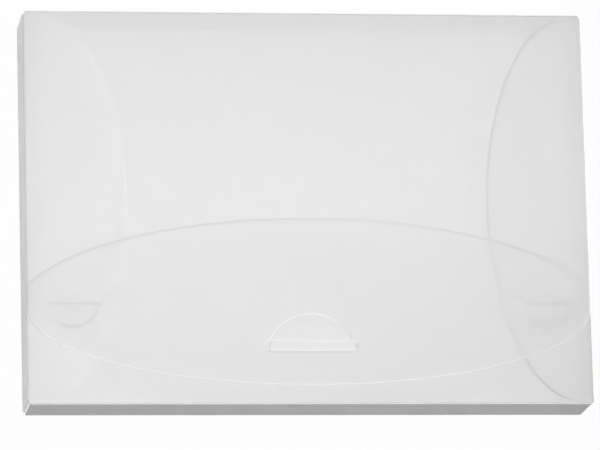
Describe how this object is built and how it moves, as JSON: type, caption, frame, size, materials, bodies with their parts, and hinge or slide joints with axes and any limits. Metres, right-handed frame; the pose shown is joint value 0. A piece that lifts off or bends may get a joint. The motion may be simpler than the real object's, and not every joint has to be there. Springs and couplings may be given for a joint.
{
  "type": "document box",
  "caption": "Shallow folding document box of frosted plastic sheet, with a hinged curved lid that locks by a half-moon tongue pushed into a slot in the front panel.",
  "frame": {"origin": "middle of the back panel's outer face, on the surface that the box lies on", "axes": "+X across the width to the right, +Y up the page from the bottom spine to the top spine, +Z through the depth, out of the front"},
  "size_m": [0.32, 0.2256, 0.0365],
  "materials": {
    "frosted_sheet": "translucent frosted polypropylene sheet with a fine matt grain",
    "pressed_crease": "the same sheet pressed along a line, smoother and a little brighter"
  },
  "bodies": {
    "box_body": {"back_panel": "frosted_sheet", "bottom_spine": "frosted_sheet", "front_panel": "frosted_sheet", "left_wall": "frosted_sheet", "right_wall": "frosted_sheet", "left_flap": "frosted_sheet", "right_flap": "frosted_sheet", "crease_back_to_top_spine": "pressed_crease", "crease_back_to_bottom_spine": "pressed_crease", "crease_bottom_spine_to_front": "pressed_crease", "crease_back_to_left_wall": "pressed_crease", "crease_left_wall_to_flap": "pressed_crease", "crease_back_to_right_wall": "pressed_crease", "crease_right_wall_to_flap": "pressed_crease", "crease_left_front_tongue": "pressed_crease", "crease_right_front_tongue": "pressed_crease"},
    "spine_body": {"top_spine": "frosted_sheet", "crease_top_spine_to_lid": "pressed_crease"},
    "lid_body": {"lid": "frosted_sheet", "crease_lid_tongue": "pressed_crease"},
    "lid_tongue_body": {"lid_tongue": "frosted_sheet"},
    "left_front_tongue_body": {"left_front_tongue": "frosted_sheet"},
    "right_front_tongue_body": {"right_front_tongue": "frosted_sheet"}
  },
  "joints": [
    {"name": "top_spine_swing", "type": "hinge", "parent": "box_body", "child": "spine_body", "pos_m": [0, 0.11235, 0.0004], "axis": [-1, 0, 0], "range_deg": [0, 90], "deforming": ["lid_tongue"]},
    {"name": "lid_swing", "type": "hinge", "parent": "spine_body", "child": "lid_body", "pos_m": [0, 0.11235, 0.0361], "axis": [-1, 0, 0], "range_deg": [0, 90], "deforming": ["lid_tongue"]},
    {"name": "lid_tongue_push", "type": "hinge", "parent": "lid_body", "child": "lid_tongue_body", "pos_m": [0, -0.08245, 0.0361], "axis": [-1, 0, 0], "range_deg": [0, 70.4]},
    {"name": "left_front_tongue_push", "type": "hinge", "parent": "box_body", "child": "left_front_tongue_body", "pos_m": [-0.134, -0.05535, 0.0352], "axis": [1, 0, 0], "range_deg": [0, 70.4]},
    {"name": "right_front_tongue_push", "type": "hinge", "parent": "box_body", "child": "right_front_tongue_body", "pos_m": [0.134, -0.05535, 0.0352], "axis": [1, 0, 0], "range_deg": [0, 70.4]}
  ]
}
